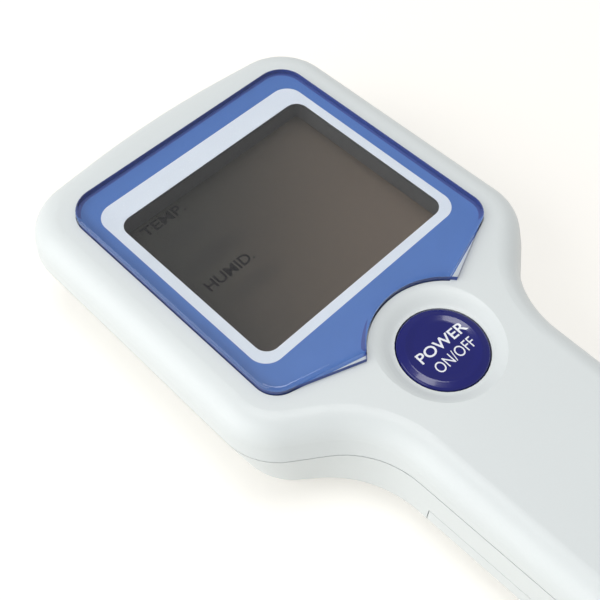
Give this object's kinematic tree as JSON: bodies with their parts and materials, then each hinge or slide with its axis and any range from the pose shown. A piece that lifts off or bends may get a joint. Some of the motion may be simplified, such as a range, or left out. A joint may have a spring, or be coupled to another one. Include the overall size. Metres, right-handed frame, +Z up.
{
  "type": "thermo-hygrometer",
  "caption": "Hand-held temperature and humidity meter: wide display head on a battery grip, with a power button, a sensor socket and a sliding battery door.",
  "frame": {"origin": "middle of the flat back, under the middle of the length and width", "axes": "+X across to the right of the display, +Y along the body to the head end, +Z up out of the display"},
  "size_m": [0.0722, 0.167, 0.0242],
  "materials": {
    "case_plastic": "satin",
    "lens_acrylic": "gloss",
    "tape": "matte",
    "lcd_film": "gloss",
    "lcd_glass": "gloss",
    "reflector_foil": "satin",
    "frame_plastic": "matte",
    "conductive_rubber": "matte",
    "board_laminate": "satin",
    "chip_epoxy": "matte",
    "crystal_can": "satin",
    "chip_ceramic": "matte",
    "button_plastic": "gloss",
    "dome_silicone": "matte",
    "pill_carbon": "matte",
    "cell_can": "satin",
    "contact_metal": "satin",
    "lead_red": "satin",
    "lead_black": "satin",
    "lead_grey": "satin",
    "socket_metal": "polished",
    "insert_plastic": "matte",
    "pin_metal": "polished",
    "seal_rubber": "matte",
    "screw_steel": "satin"
  },
  "bodies": {
    "case": {"front_shell": "case_plastic", "back_shell": "case_plastic", "display_lens": "lens_acrylic", "lens_adhesive": "tape", "lcd_frame": "frame_plastic", "lcd_polarizer": "lcd_film", "lcd_front_glass": "lcd_glass", "lcd_rear_glass": "lcd_glass", "lcd_reflector": "reflector_foil", "zebra_strips": "conductive_rubber", "main_board": "board_laminate", "controller_chip": "chip_epoxy", "amplifier_chip": "chip_epoxy", "clock_crystal": "crystal_can", "chip_components": "chip_ceramic", "button_dome": "dome_silicone", "cell_left": "cell_can", "cell_right": "cell_can", "link_contact": "contact_metal", "link_spring": "contact_metal", "positive_contact": "contact_metal", "negative_contact": "contact_metal", "negative_spring": "contact_metal", "positive_lead": "lead_red", "negative_lead": "lead_black", "socket_shell": "socket_metal", "socket_insert": "insert_plastic", "socket_pins": "pin_metal", "socket_nut": "socket_metal", "socket_seal": "seal_rubber", "sensor_leads": "lead_grey", "case_screws": "screw_steel", "board_screws": "screw_steel"},
    "button": {"power_button": "button_plastic", "contact_pill": "pill_carbon"},
    "door": {"battery_door": "case_plastic"}
  },
  "joints": [
    {"name": "button_press", "type": "slide", "parent": "case", "child": "button", "axis": [0, 0, -1], "range_m": [0, 0.0009], "stiffness_N_per_m": 1500, "springref_m": -0.0003, "deforming": ["button_dome"]},
    {"name": "door_slide", "type": "slide", "parent": "case", "child": "door", "axis": [0, -1, 0], "range_m": [0, 0.066]}
  ]
}
